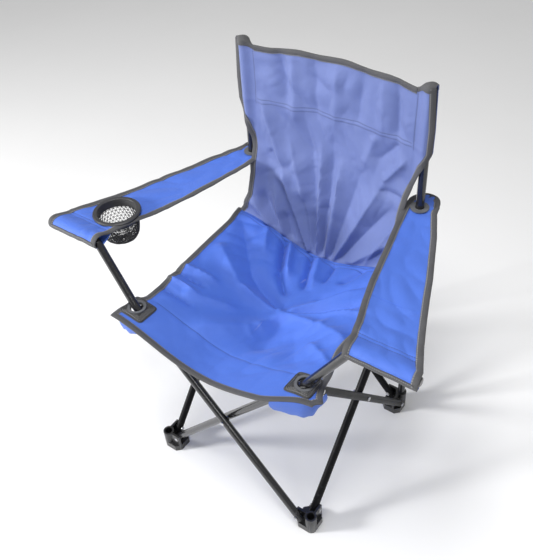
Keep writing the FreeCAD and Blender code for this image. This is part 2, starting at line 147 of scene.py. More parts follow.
# %% Shader shorthand
class Signal:
    """One output of a node, which takes part in arithmetic."""

    def __init__(self, finish, socket):
        self.finish = finish
        self.socket = socket

    def __add__(self, other):
        return self.finish.maths("ADD", self, other)

    def __sub__(self, other):
        return self.finish.maths("SUBTRACT", self, other)

    def __rsub__(self, other):
        return self.finish.maths("SUBTRACT", other, self)

    def __mul__(self, other):
        return self.finish.maths("MULTIPLY", self, other)

    __radd__ = __add__
    __rmul__ = __mul__


class Finish:
    """A material that is built up from formulas."""

    def __init__(self, name, **sockets):
        self.material = bpy.data.materials.new(name)
        self.material.use_nodes = True
        self.tree = self.material.node_tree
        self.shader = self.tree.nodes["Principled BSDF"]
        for socket, value in sockets.items():
            self.shader.inputs[socket.replace("_", " ")].default_value = value

    def plug(self, socket, value):
        if isinstance(value, Signal):
            self.tree.links.new(value.socket, socket)
        else:
            socket.default_value = value

    def node(self, kind, settings=(), output=0, **inputs):
        """Adds a node, makes its settings, then feeds its inputs. An input is named, or _ and its place."""
        made = self.tree.nodes.new(kind)
        for name, value in dict(settings).items():
            setattr(made, name, value)
        for name, value in inputs.items():
            where = int(name[1:]) if name.startswith("_") else name.replace("_", " ")
            self.plug(made.inputs[where], value)
        return Signal(self, made.outputs[output])

    def maths(self, operation, *values):
        numbered = {f"_{i}": value for i, value in enumerate(values)}
        return self.node("ShaderNodeMath", {"operation": operation}, **numbered)

    def place(self):
        return self.node("ShaderNodeTexCoord", output="Object")

    def flat(self):
        """Where a point lies on the uncurled cloth, in metres, as two numbers."""
        uv = self.node("ShaderNodeUVMap", {"uv_map": "cloth"})
        return uv, self.part(uv, "X"), self.part(uv, "Y")

    def part(self, vector, axis):
        return self.node("ShaderNodeSeparateXYZ", output=axis, Vector=vector)

    def noise(self, scale, detail=2.0, vector=None, roughness=0.5):
        return self.node("ShaderNodeTexNoise", output=0, Vector=vector or self.place(), Scale=scale,
                         Detail=detail, Roughness=roughness)

    def ramp(self, value, low, high, to_low=0.0, to_high=1.0):
        return self.node("ShaderNodeMapRange", {"interpolation_type": "SMOOTHSTEP"}, _0=value, _1=low, _2=high,
                         _3=to_low, _4=to_high)

    def mix(self, factor, first, second):
        made = self.tree.nodes.new("ShaderNodeMix")
        made.data_type = "RGBA"
        self.plug(made.inputs[0], factor)
        self.plug(made.inputs[6], first)
        self.plug(made.inputs[7], second)
        return Signal(self, made.outputs[2])

    def bump(self, height, depth, strength=1.0):
        return self.node("ShaderNodeBump", Height=height, Distance=depth, Strength=strength)

    def feed(self, **sockets):
        for socket, value in sockets.items():
            self.plug(self.shader.inputs[socket.replace("_", " ")], value)
        return self.material


print("shader shorthand ready")

# %% [markdown]
# ## Finish: the floor
#
# Matt and almost white, with a very slight mottle so that it doesn't render as paper.

# %% Floor finish
pale = Finish("pale_floor", Roughness=0.85)
mottle = pale.noise(3.0)
shade = pale.mix(mottle, (0.90, 0.90, 0.90, 1), (0.93, 0.93, 0.93, 1))
floor.data.materials.append(pale.feed(Base_Color=shade))

# %% [markdown]
# ## Finish: powder-coated tube
#
# Gloss black paint over steel. It mirrors the room in long lines, so what sells it is a low roughness that
# wanders a little, faint orange-peel in the paint, and dust and rub marks that dull it in patches.

# %% Tube, moulding and metal finishes
def glossy_black(name, colour, rough, peel, dust, ior=1.5, coat=0.4):
    """Black paint or moulding: peel is the depth of its orange peel, dust how far its marks grey it."""
    made = Finish(name, IOR=ior, Coat_Weight=coat, Coat_Roughness=0.06)
    wander = made.noise(22.0, 3.0)
    marks = made.ramp(made.noise(75.0, 5.0, roughness=0.7), 0.56, 0.74)
    shade = made.mix(marks * dust, (*colour, 1), (0.10, 0.10, 0.105, 1))
    return made.feed(Base_Color=shade, Roughness=wander * 0.16 + rough + marks * 0.18,
                     Normal=made.bump(made.noise(520.0, 1.0) + made.noise(90.0, 1.0) * 1.5, peel))


tube_black = glossy_black("black_tube", (0.010, 0.010, 0.012), 0.12, 0.00012, 0.35)
brace_black = glossy_black("satin_tube", (0.008, 0.008, 0.009), 0.30, 0.00012, 0.25, ior=1.2, coat=0.0)
moulded_black = glossy_black("moulded_black", (0.014, 0.014, 0.015), 0.26, 0.00022, 0.45)


def plain_metal(name, colour, rough):
    """Bare metal that is darker and duller where it is worn."""
    made = Finish(name, Metallic=1.0)
    worn = made.noise(160.0, 4.0)
    dark = tuple(c * 0.45 for c in colour)
    return made.feed(Base_Color=made.mix(made.ramp(worn, 0.4, 0.75), (*colour, 1), (*dark, 1)),
                     Roughness=worn * 0.3 + rough, Normal=made.bump(made.noise(900.0), 0.0001))


rivet_steel = plain_metal("rivet_steel", (0.62, 0.62, 0.63), 0.22)


def matt_plastic(name, colour, rough):
    """A fine-grained moulding with slow blotches."""
    made = Finish(name)
    grain = made.noise(1400.0, 1.0)
    blotch = made.noise(60.0, 3.0)
    light = tuple(c * 1.7 + 0.01 for c in colour)
    return made.feed(Base_Color=made.mix(blotch, (*colour, 1), (*light, 1)), Roughness=blotch * 0.15 + rough,
                     Normal=made.bump(grain + blotch * 2.0, 0.0002))


ring_grey = matt_plastic("grey_ring", (0.075, 0.078, 0.085), 0.38)
ring_black = matt_plastic("black_ring", (0.022, 0.022, 0.024), 0.36)

# %% [markdown]
# ## Finish: the blue cloth
#
# The cloth is a heavy plain-woven polyester: two sets of threads a bit under a millimetre apart, each
# rising and falling over the other. Two sine waves across the flat cloth give the threads. The colour
# drifts slowly, the thread crowns are a little paler, and sewn lines are rows of short dimples, given as
# (axis, place, start, end) on the flat cloth.

# %% Blue cloth finish
THREAD = 0.00085


def stitch_rows(made, across, along, start, end, pitch=0.0042):
    """1 on the threads of one sewn row and 0 elsewhere."""
    near = 1.0 - made.ramp(made.maths("ABSOLUTE", across), 0.0005, 0.0011)
    dash = made.ramp(made.maths("SINE", along * (2 * math.pi / pitch)), -0.75, -0.35)
    inside = made.ramp(along, start, start + 0.002) * (1.0 - made.ramp(along, end - 0.002, end))
    return near * dash * inside


def woven(name, colour, rows=(), drift=0.16):
    """The blue cloth. drift is how far its colour wanders, as a share of the colour."""
    made = Finish(name, Sheen_Weight=0.12, Sheen_Roughness=0.4, Specular_IOR_Level=0.42)
    uv, u, v = made.flat()
    warp = made.maths("SINE", u * (2 * math.pi / THREAD))
    weft = made.maths("SINE", v * (2 * math.pi / THREAD))
    over = made.maths("SINE", u * (math.pi / THREAD)) * made.maths("SINE", v * (math.pi / THREAD))
    threads = made.maths("ABSOLUTE", warp) * 0.5 + made.maths("ABSOLUTE", weft) * 0.5 + over * 0.35
    slow = made.noise(5.0, 3.0, vector=uv)
    slub = made.noise(70.0, 4.0, vector=uv, roughness=0.65)
    deep = tuple(c * (1 - drift) for c in colour)
    pale_colour = tuple(min(1.0, c * (1 + drift) + 0.01) for c in colour)
    shade = made.mix(slow * 0.7 + slub * 0.3, (*deep, 1), (*pale_colour, 1))
    shade = made.mix(threads * 0.14, shade, (*(min(1.0, c * 1.5 + 0.03) for c in colour), 1))
    sewn = None
    for axis, place, start, end in rows:
        across, along = (u - place, v) if axis == "u" else (v - place, u)
        row = stitch_rows(made, across, along, start, end)
        sewn = row if sewn is None else made.maths("MAXIMUM", sewn, row)
    height = threads * 0.00016 + slub * 0.0005 + made.noise(260.0, 2.0, vector=uv) * 0.0002
    if sewn is not None:
        shade = made.mix(sewn * 0.7, shade, (*(c * 0.35 for c in colour), 1))
        height = height - sewn * 0.0006
    return made.feed(Base_Color=shade, Roughness=slub * 0.14 + 0.50, Normal=made.bump(height, 1.0, 0.9))


SEAT_BLUE = (0.052, 0.138, 0.56)
# Painted shade: the back is the same blue cloth as the seat, given a duller, greyer colour for the weaker light
# on it.
BACK_SHADED_BLUE = (0.118, 0.160, 0.375)
seat_rows = [("v", SEAT_FRONT + FRONT_ROW, -0.17, 0.17), ("v", SEAT_REAR - 0.004, -0.21, 0.21),
             ("v", SEAT_REAR - 0.011, -0.21, 0.21)]
back_rows = [("v", z, -BACK_SEAM, BACK_SEAM) for z in BAND_ROWS]
side_rows = [("u", 0.1705, 0.69, 0.812), ("u", -0.1705, 0.69, 0.812)]
seat_blue = woven("seat_blue", SEAT_BLUE, seat_rows)
# The back panel and its side strips take the painted-shade blue; the seat, arms and pouches take the seat's
# blue.
back_shaded_blue = woven("back_shaded_blue", BACK_SHADED_BLUE, back_rows)
side_shaded_blue = woven("back_side_shaded_blue", BACK_SHADED_BLUE, side_rows)
arm_blue = woven("arm_blue", SEAT_BLUE)
left_arm_rows = [("v", ARM_TUBE_Y[1] + d, 0.25, 0.38) for d in ARM_ROWS]
right_arm_rows = [("v", ARM_TUBE_Y[-1] + d, -0.38, -0.25) for d in ARM_ROWS]
left_arm_blue = woven("left_arm_blue", SEAT_BLUE, left_arm_rows)
right_arm_blue = woven("right_arm_blue", SEAT_BLUE, right_arm_rows)
print("cloth finishes:", 6)

# %% [markdown]
# ## Finish: edge tape and webbing
#
# Tape and webbing are ribbed: stout cross threads lie side by side along the strip. The tape carries its
# own flat coordinates, along and across, so the ribs turn with it round every corner.

# %% Tape and webbing finishes
def ribbed(name, colour, light, rib, rows=(), solid=False):
    """Tape or webbing. A solid piece has no flat map, so its ribs follow its place instead."""
    made = Finish(name, Sheen_Weight=0.1)
    uv, u, v = made.flat()
    if solid:
        uv = made.place()
        u, v = made.part(uv, "X"), made.part(uv, "Y")
    ribs = made.maths("ABSOLUTE", made.maths("SINE", u * (math.pi / rib)))
    slub = made.noise(240.0, 3.0, vector=uv)
    shade = made.mix(ribs * 0.45 + slub * 0.55, (*colour, 1), (*light, 1))
    height = ribs * 0.00022 + slub * 0.0003
    for place in rows:
        sewn = stitch_rows(made, v - place, u, -10.0, 50.0, 0.0036)
        shade = made.mix(sewn * 0.8, shade, (*(c * 1.8 + 0.10 for c in light), 1))
        height = height - sewn * 0.0003
    return made.feed(Base_Color=shade, Roughness=slub * 0.2 + 0.62, Normal=made.bump(height, 1.0, 0.9))


WEBBING = (0.012, 0.012, 0.013), (0.05, 0.05, 0.053)
edge_tape = ribbed("edge_tape", (0.030, 0.030, 0.033), (0.085, 0.085, 0.09), 0.0012, rows=(0.009,))
patch_webbing = ribbed("patch_webbing", *WEBBING, 0.0016, rows=(0.004, 0.008, 0.012))
solid_webbing = ribbed("solid_webbing", *WEBBING, 0.0016, solid=True)
net_black = matt_plastic("black_net", (0.020, 0.020, 0.021), 0.5)
print("tape and webbing ready")

# %% [markdown]
# ## Dress the CAD pieces
#
# Every node that stays in view gets its finish by what it is. The moulded feet and sliders have sharp CAD
# edges that no moulding has, so they also get a small bevel, which catches the light along each edge.

# %% Dress the CAD pieces
def cad_finish(name):
    """The finish of a CAD node, from what its name says it is."""
    if name.endswith(("_foot", "_slider", "_bracket", "_cap")):
        return moulded_black
    if "rivet" in name:
        return rivet_steel
    if name.endswith("grommet"):
        return ring_grey
    if name == "cup_ring":
        return ring_black
    if "brace" in name:
        return brace_black
    if name.endswith(("_post", "_tube")):
        return tube_black
    return solid_webbing


for name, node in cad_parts.items():
    node.data.materials.clear()
    node.data.materials.append(cad_finish(name))
    if name.endswith(("_foot", "_slider", "_bracket")):
        merge = node.modifiers.new("merge", "WELD")
        merge.merge_threshold = 0.00002
        soften = node.modifiers.new("soften", "BEVEL")
        soften.width = 0.0016
        soften.segments = 3
        soften.limit_method = "ANGLE"
        soften.angle_limit = math.radians(35)
        soften.harden_normals = True
print("dressed", len(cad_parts), "nodes")

# %% [markdown]
# ## Folds in cloth
#
# Cloth held at a few points folds along lines between them. A fold here is a line on the flat cloth with a
# height and a width. Seen from the side it is a narrow crest with hollow flanks, and it dies out at both
# ends. Adding a list of such folds to a smooth surface gives creases that lie where the pull is.

# %% Folds
def ease(t):
    t = np.clip(t, 0, 1)
    return t * t * (3 - 2 * t)


def fold(x, y, start, end, height, width, sharp=0.5, spread=1.0):
    """Height of one fold at (x, y). It is width wide at its start and width * spread wide at its end."""
    ax, ay = start
    dx, dy = end[0] - ax, end[1] - ay
    length = math.hypot(dx, dy)
    along = ((x - ax) * dx + (y - ay) * dy) / length ** 2
    off = ((x - ax) * dy - (y - ay) * dx) / length
    wide = width * (1 + (spread - 1) * np.clip(along, 0, 1))
    bell = np.exp(-((off / wide) ** 2))
    crest = np.exp(-np.abs(off) / (0.55 * wide))
    ends = ease((along + 0.08) / 0.2) * ease((1.12 - along) / 0.35)
    return height * ends * ((1 - sharp) * bell + sharp * crest)


def ripples(x, y, size, seed):
    """Slow seeded undulation between -1 and 1, as a sum of waves in different directions."""
    rng = np.random.default_rng(seed)
    total = np.zeros_like(x)
    for _ in range(7):
        angle, phase = rng.uniform(0, 2 * math.pi, 2)
        stretch = rng.uniform(0.7, 1.5) * 2 * math.pi / size
        total += np.sin((x * math.cos(angle) + y * math.sin(angle)) * stretch + phase)
    return total / 7


def creases(x, y, size, seed):
    """Sharp small creases: a slow undulation that turns back on itself wherever it would cross zero."""
    warp = ripples(x, y, size * 2.3, seed + 1) * size * 0.7
    return np.abs(ripples(x + warp, y - warp, size, seed)) - 0.2

# %% [markdown]
# ## The shape of the seat
#
# The seat hangs from four corners, so its side edges are nearly straight, its front edge droops and its
# middle is a shallow bowl that climbs again to the seam with the back. The folds run from the bowl's middle
# to the corners, where the pull is.

# %% Seat surface
SEAT_FOLDS = [
    # start, end, height, width, sharpness
    ((0.020, -0.014), (0.118, -0.034), 0.0085, 0.020, 0.6),
    ((0.110, -0.032), (0.198, -0.066), 0.0070, 0.020, 0.5),
    ((0.020, -0.014), (-0.010, -0.075), 0.0065, 0.020, 0.5),
    ((-0.007, -0.073), (-0.090, -0.160), 0.0055, 0.026, 0.3),
    ((0.020, -0.012), (-0.103, -0.009), 0.0075, 0.017, 0.6),
    ((-0.095, -0.008), (-0.175, 0.036), 0.0055, 0.018, 0.4),
    ((0.010, -0.004), (-0.092, 0.031), -0.0075, 0.016, 0.5),
    ((-0.085, 0.026), (-0.178, 0.120), -0.0065, 0.020, 0.4),
    ((0.022, -0.008), (0.142, 0.088), 0.0060, 0.013, 0.6),
    ((0.030, -0.010), (0.180, 0.050), -0.0055, 0.011, 0.6),
    ((0.040, -0.012), (0.185, 0.020), 0.0045, 0.009, 0.6),
    ((0.060, 0.040), (0.170, 0.118), -0.0050, 0.012, 0.5),
    ((-0.089, 0.150), (-0.050, 0.073), -0.0100, 0.010, 0.6),
    ((-0.052, 0.076), (-0.008, 0.034), -0.0080, 0.011, 0.5),
    ((-0.070, 0.150), (-0.030, 0.070), 0.0085, 0.010, 0.6),
    ((-0.020, 0.150), (0.016, 0.062), -0.0075, 0.009, 0.6),
    ((0.000, 0.150), (0.030, 0.070), 0.0065, 0.011, 0.6),
    ((0.040, 0.150), (0.046, 0.090), -0.0055, 0.009, 0.6),
    ((0.115, 0.150), (0.080, 0.095), -0.0060, 0.010, 0.6),
    ((-0.130, 0.150), (-0.100, 0.090), 0.0050, 0.010, 0.5),
    ((0.020, -0.030), (0.050, -0.130), -0.0045, 0.030, 0.2),
    ((0.075, -0.060), (0.140, -0.150), -0.0040, 0.026, 0.2),
    ((-0.205, -0.100), (-0.127, -0.094), 0.0048, 0.007, 0.7),
    ((-0.205, -0.080), (-0.130, -0.066), -0.0048, 0.008, 0.7),
    ((-0.200, -0.058), (-0.120, -0.040), 0.0042, 0.008, 0.6),
    ((-0.190, -0.128), (-0.120, -0.120), -0.0035, 0.009, 0.6),
    ((-0.150, -0.110), (-0.060, -0.060), 0.0035, 0.012, 0.5),
    ((0.190, -0.120), (0.120, -0.080), 0.0035, 0.010, 0.5),
]


def seam_height(x):
    """The seam between seat and back."""
    return SEAT_TOP - 0.046 * (1 + np.cos(math.pi * np.clip(x / SEAT_SIDE, -1, 1))) / 2


def seat_z(x, y):
    """Height of the seat cloth."""
    t = (y - SEAT_FRONT) / (SEAT_REAR - SEAT_FRONT)
    deepest = SEAT_SAG + 0.012
    depth = np.interp(t + 0.5 * np.maximum(x, 0) * np.sin(math.pi * np.clip(t, 0, 1)),
                      [0, 0.3, 0.57, 0.8, 1], [0.043, 0.054, deepest, 0.056, 0.046])
    edge = 0.004 * np.sin(math.pi * np.clip(t, 0, 1))
    cross = (1 + np.cos(math.pi * np.clip(x / SEAT_SIDE, -1, 1))) / 2
    z = SEAT_TOP - edge - depth * cross ** 0.9
    crumple = 2.0 * sum(fold(x, y, *f) for f in SEAT_FOLDS)
    crumple += 0.0060 * creases(x, y, 0.150, 4) + 0.0010 * creases(x, y, 0.06, 8)
    hold = ease((SEAT_REAR - y) / 0.012) * ease((SEAT_SIDE - np.abs(x)) / 0.03) * ease((y - SEAT_FRONT) / 0.05)
    sewn = -0.0010 * np.exp(-(((y - SEAT_FRONT - FRONT_ROW) / 0.003) ** 2))
    return z + crumple * (0.12 + 0.88 * hold) * ease((SEAT_REAR - y) / 0.006) + sewn


print("seat lowest point:", round(float(seat_z(np.array([0.0]), np.array([0.0]))[0]), 4))

# %% [markdown]
# ## Cloth from a grid
#
# A sheet is a grid of points with a flat coordinate each. Solidify gives it the cloth's thickness, with
# both faces and the rim, so that it is a closed thing from every side. Faces inside a hole are left out.

# %% Cloth grid helper
def deselect():
    bpy.ops.object.select_all(action="DESELECT")


def make_mesh(name, points, faces, flat, material):
    """A mesh object with its flat map, left selected and active."""
    mesh = bpy.data.meshes.new(name)
    mesh.from_pydata([tuple(p) for p in points], [], faces)
    layer = mesh.uv_layers.new(name="cloth")
    for loop in mesh.loops:
        layer.data[loop.index].uv = flat[loop.vertex_index]
    mesh.materials.append(material)
    piece = bpy.data.objects.new(name, mesh)
    bpy.context.scene.collection.objects.link(piece)
    deselect()
    piece.select_set(True)
    bpy.context.view_layer.objects.active = piece
    return piece


def thicken(piece, thickness, smooth=60):
    """Gives a sheet its two faces and a rim."""
    shell = piece.modifiers.new("thickness", "SOLIDIFY")
    shell.thickness = thickness
    shell.offset = 0
    bpy.ops.object.modifier_apply(modifier=shell.name)
    bpy.ops.object.mode_set(mode="EDIT")
    bpy.ops.mesh.select_all(action="SELECT")
    bpy.ops.mesh.normals_make_consistent(inside=False)
    bpy.ops.object.mode_set(mode="OBJECT")
    bpy.ops.object.shade_smooth_by_angle(angle=math.radians(smooth))
    return piece


def cloth(name, grid, flat, material, holes=(), thickness=CLOTH):
    """A sheet from a grid of points, rows by columns. A hole is (x, y, radius), seen from above."""
    rows, columns = grid.shape[:2]
    points, uv = grid.reshape(-1, 3), flat.reshape(-1, 2)
    faces = []
    for i in range(rows - 1):
        for j in range(columns - 1):
            k = i * columns + j
            corner = [k, k + 1, k + columns + 1, k + columns]
            middle = points[corner].mean(0)
            if all(math.hypot(middle[0] - x, middle[1] - y) > r for x, y, r in holes):
                faces.append(corner)
    used = sorted({k for face in faces for k in face})
    renumber = {k: i for i, k in enumerate(used)}
    faces = [[renumber[k] for k in face] for face in faces]
    piece = make_mesh(name, points[used], faces, uv[used], material)
    return thicken(piece, thickness)

# %% [markdown]
# ## Edge tape
#
# The raw edge is closed by a tape folded round it: about ten millimetres shows on either face. It is swept
# along the edge as a flat loop that turns with the surface, so it follows every ripple of the cloth.

# %% Edge tape helper
TAPE = [(-0.0105, 0.0007), (-0.0098, 0.0015), (-0.004, 0.0018), (0.0, 0.0017), (0.0013, 0.0009),
        (0.0013, -0.0009), (0.0, -0.0017), (-0.004, -0.0018), (-0.0098, -0.0015), (-0.0105, -0.0007)]


def unit(v):
    """Vectors brought to length one."""
    return v / np.maximum(np.linalg.norm(v, axis=-1, keepdims=True), 1e-9)


def tape(name, edge, inner, body, closed=False, profile=TAPE, material=edge_tape):
    """Sweeps the folded tape along an edge. inner holds the cloth's points one row in from the edge."""
    along = unit(np.gradient(edge, axis=0))
    if closed:
        along = unit(np.roll(edge, -1, 0) - np.roll(edge, 1, 0))
    out = edge - inner
    out = unit(out - (out * along).sum(-1, keepdims=True) * along)
    for _ in range(3):
        out[1:-1] = unit(out[:-2] + 2 * out[1:-1] + out[2:])
    up = np.cross(along, out)
    run = np.concatenate([[0], np.cumsum(np.linalg.norm(np.diff(edge, axis=0), axis=1))])
    count = len(profile)
    points = np.concatenate([[e + o * a + n * b for a, b in profile] for e, o, n in zip(edge, out, up)])
    widths = [abs(a) for a, _ in profile]
    flat = np.array([(r, w) for r in run for w in widths])
    faces = []
    last = len(edge) if closed else len(edge) - 1
    for i in range(last):
        for j in range(count):
            a, b = i * count + j, i * count + (j + 1) % count
            c, d = (i + 1) % len(edge) * count + (j + 1) % count, (i + 1) % len(edge) * count + j
            faces.append([a, b, c, d])
    if not closed:
        faces += [list(range(count))[::-1], list(range(last * count, last * count + count))]
    piece = make_mesh(name, points, faces, flat, material)
    bpy.ops.object.mode_set(mode="EDIT")
    bpy.ops.mesh.select_all(action="SELECT")
    bpy.ops.mesh.normals_make_consistent(inside=False)
    bpy.ops.object.mode_set(mode="OBJECT")
    bpy.ops.object.shade_smooth_by_angle(angle=math.radians(50))
    if body:
        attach(piece, body)
    return piece


print("tape profile points:", len(TAPE))

# %% [markdown]
# ## The seat
#
# The seat is made in two halves that meet on the middle line, because it folds there: each half swings
# down from its side edge as the chair closes. At rest the two halves share their middle row of points, so
# nothing shows.

# %% Seat halves
def hole_at(side):
    """Where a front tube passes through the seat."""
    return side * 0.1845, SEAT_TUBE_Y[side]


def seat_half(side, name):
    """One half of the seat with its edge tape."""
    across = np.linspace(0, 1, 76)
    down = np.linspace(0, 1, 142)
    t, s = np.meshgrid(down, across, indexing="ij")
    y = SEAT_FRONT + (SEAT_REAR + 0.003 - SEAT_FRONT) * t
    wide = SEAT_SIDE - 0.011 * ease((0.75 - t) / 0.6) - 0.003 * np.sin(math.pi * t)
    wide = wide + 0.019 * ease((0.22 - t) / 0.18) + 0.007 * ease((t - 0.86) / 0.14)
    if side > 0:
        wide = wide + 0.020 * ease((0.42 - t) / 0.22) - 0.014 * ease((0.09 - t) / 0.09)
    x = side * (0.0001 + (wide - 0.0001) * s)
    y = y - 0.004 * (1 - s ** 2) * ease((0.15 - t) / 0.15)
    if side > 0:
        y = y + 0.026 * ease((s - 0.55) / 0.45) * ease((0.14 - t) / 0.14)
    grid = np.stack([x, y, seat_z(x, y)], -1)
    flat = np.stack([x, y], -1)
    piece = cloth(f"{name}_seat_cloth", grid, flat, seat_blue, holes=[(*hole_at(side), 0.0165)])
    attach(piece, f"{name}_seat")
    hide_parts(f"{name}_seat_half")
    edge = np.concatenate([grid[0, :-1], grid[:, -1]])
    inner = np.concatenate([grid[3, :-1], grid[:, -4]])
    inner[75] = grid[3, -4]
    trim = tape(f"{name}_seat_tape", edge, inner, f"{name}_seat")
    for part in (piece, trim):
        side * 0.2
        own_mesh(part)
    return piece


for side, name in SIDES:
    made = seat_half(side, name)
    print(made.name, len(made.data.polygons), "faces")

# %% [markdown]
# ## The shape of the back
#
# The back is slack cloth between two posts. Above its doubled band it hangs almost flat. Below, it leans
# forward to the seat seam and gathers there in long folds that fan upwards. Over each post it bulges.

# %% Back surface
BACK_FOLDS = [
    # start, end, height, width, sharpness, spread
    ((-0.021, 0.400), (-0.092, 0.519), 0.0130, 0.009, 0.6, 1.8),
    ((-0.086, 0.505), (-0.160, 0.712), 0.0110, 0.017, 0.6, 1.6),
    ((-0.030, 0.400), (-0.120, 0.540), -0.0080, 0.009, 0.4, 2.6),
    ((-0.018, 0.402), (-0.060, 0.520), -0.0095, 0.007, 0.5, 2.2),
    ((-0.016, 0.402), (-0.098, 0.630), 0.0085, 0.006, 0.6, 2.6),
    ((-0.012, 0.402), (-0.066, 0.690), -0.0070, 0.007, 0.4, 3.4),
    ((-0.008, 0.402), (-0.028, 0.625), 0.0090, 0.006, 0.6, 2.6),
    ((0.002, 0.402), (-0.004, 0.640), -0.0070, 0.006, 0.4, 3.0),
    ((0.014, 0.402), (0.017, 0.610), 0.0075, 0.006, 0.6, 2.6),
    ((0.022, 0.402), (0.060, 0.600), -0.0070, 0.007, 0.4, 3.0),
    ((0.030, 0.402), (0.118, 0.606), 0.0085, 0.007, 0.6, 2.6),
    ((0.040, 0.404), (0.140, 0.560), -0.0070, 0.008, 0.5, 2.4),
    ((0.060, 0.404), (0.160, 0.505), 0.0060, 0.008, 0.6, 2.0),
    ((0.093, 0.404), (0.160, 0.540), 0.0085, 0.008, 0.6, 1.8),
    ((0.085, 0.404), (0.140, 0.480), -0.0075, 0.008, 0.6, 1.8),
    ((0.120, 0.415), (0.168, 0.470), -0.0060, 0.007, 0.6, 1.6),
    ((-0.101, 0.404), (-0.170, 0.485), 0.0095, 0.008, 0.6, 1.8),
    ((-0.090, 0.404), (-0.155, 0.500), -0.0085, 0.008, 0.5, 1.8),
    ((-0.084, 0.404), (-0.129, 0.530), 0.0090, 0.007, 0.6, 2.0),
    ((-0.066, 0.402), (-0.100, 0.470), -0.0070, 0.008, 0.5, 1.8),
    ((-0.120, 0.414), (-0.165, 0.450), -0.0055, 0.007, 0.6, 1.6),
    ((0.117, 0.609), (0.160, 0.668), 0.0070, 0.008, 0.6, 1.5),
    ((0.168, 0.590), (0.105, 0.585), -0.0060, 0.008, 0.6, 1.4),
    ((0.140, 0.690), (0.095, 0.640), -0.0055, 0.009, 0.5, 1.5),
    ((0.090, 0.690), (0.070, 0.620), 0.0045, 0.010, 0.4, 1.5),
    ((-0.140, 0.600), (-0.100, 0.560), -0.0050, 0.009, 0.5, 1.5),
    ((-0.118, 0.812), (-0.100, 0.700), -0.0065, 0.011, 0.3, 1.4),
    ((-0.090, 0.812), (-0.085, 0.660), 0.0050, 0.012, 0.3, 1.4),
    ((-0.045, 0.810), (-0.040, 0.690), -0.0050, 0.012, 0.3, 1.2),
    ((0.005, 0.812), (0.000, 0.660), 0.0045, 0.014, 0.3, 1.4),
    ((0.060, 0.812), (0.045, 0.700), -0.0045, 0.012, 0.3, 1.4),
    ((0.128, 0.812), (0.135, 0.690), -0.0060, 0.010, 0.4, 1.2),
    ((0.100, 0.812), (0.105, 0.690), 0.0045, 0.012, 0.3, 1.2),
]
SLEEVE_LOW = 0.690


def side_edge(z, side):
    """Distance of the back's side edge from the middle. The left one is drawn in a little more."""
    drawn = 0.007 * ease((z - 0.50) / 0.05) * (side > 0)
    return -drawn + np.interp(z, [0.446, 0.462, 0.500, 0.560, 0.600, 0.625, 0.650, 0.672, 0.695, 0.740, 0.816],
                     [0.2050, 0.1950, 0.1800, 0.1760, 0.1785, 0.1840, 0.1935, 0.2040, 0.2120, 0.2125, 0.2085])


def top_edge(x):
    """Height of the back's top edge, which is a little higher in the middle."""
    crown = np.cos(math.pi * np.clip(x / 0.40, -0.5, 0.5)) ** 2
    return BACK_TOP - 0.006 + 0.006 * crown + 0.0014 * np.sin(x * 62 + 0.6)


def back_y(x, z):
    """How far back the cloth of the back lies."""
    low = seam_height(x)
    t = np.clip((z - low) / (SLEEVE_LOW - low), 0, 1)
    lean = 1 - (1 - t) ** 1.7
    middle = np.clip(1 - (x / BACK_SEAM) ** 2, 0, 1)
    y = SEAT_REAR + (CORNER - SEAT_REAR) * lean + 0.016 * middle * ease(t * 1.3)
    folds = 1.4 * sum(fold(x, z, *f) for f in BACK_FOLDS)
    folds += (0.0070 * creases(x, z, 0.125, 11) + 0.0018 * creases(x, z, 0.05, 15)) * ease(t * 2)
    folds = folds * ease((z - low) / 0.010) * (0.35 + 0.65 * ease((BACK_TOP - z) / 0.05))
    over = np.exp(-(((np.abs(x) - CORNER) / 0.0125) ** 2)) * ease((z - 0.585) / 0.05)
    clear = 0.0125 * ease((0.62 - z) / 0.06) * ease((np.abs(x) - 0.14) / 0.03) * ease((z - 0.452) / 0.03)
    pull = ease((0.178 - np.abs(x)) / 0.03)
    band = -0.0008 * np.exp(-(((z - 0.7005) / 0.005) ** 2))
    return y - folds * (0.15 + 0.85 * pull) - 0.0105 * over - clear + band


print("back leans", round(CORNER - SEAT_REAR, 4), "m forward")

# %% [markdown]
# ## The back panel and its side strips
#
# The cloth is divided where the real one is sewn: along the two upright seams of the post sleeves. The
# middle is attached to the left post, and each side strip to its own post.

# %% Back panel
def back_grid(x_low, x_high, columns, rows=150):
    """Points between the seat seam and the top edge, with their flat places."""
    t, s = np.meshgrid(np.linspace(0, 1, rows), np.linspace(0, 1, columns), indexing="ij")
    x = x_low + (x_high - x_low) * s
    z = seam_height(x) + (top_edge(x) - seam_height(x)) * t
    return np.stack([x, back_y(x, z), z], -1), np.stack([x, z], -1)


grid, flat = back_grid(-BACK_SEAM, BACK_SEAM, 132)
back = cloth("back_cloth", grid, flat, back_shaded_blue)
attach(back, "left_rear_leg")
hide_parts("back_panel")
top_tape = tape("back_top_tape", grid[-1], grid[-4], "left_rear_leg")
for part in (back, top_tape):
    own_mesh(part)
print("back faces:", len(back.data.polygons))

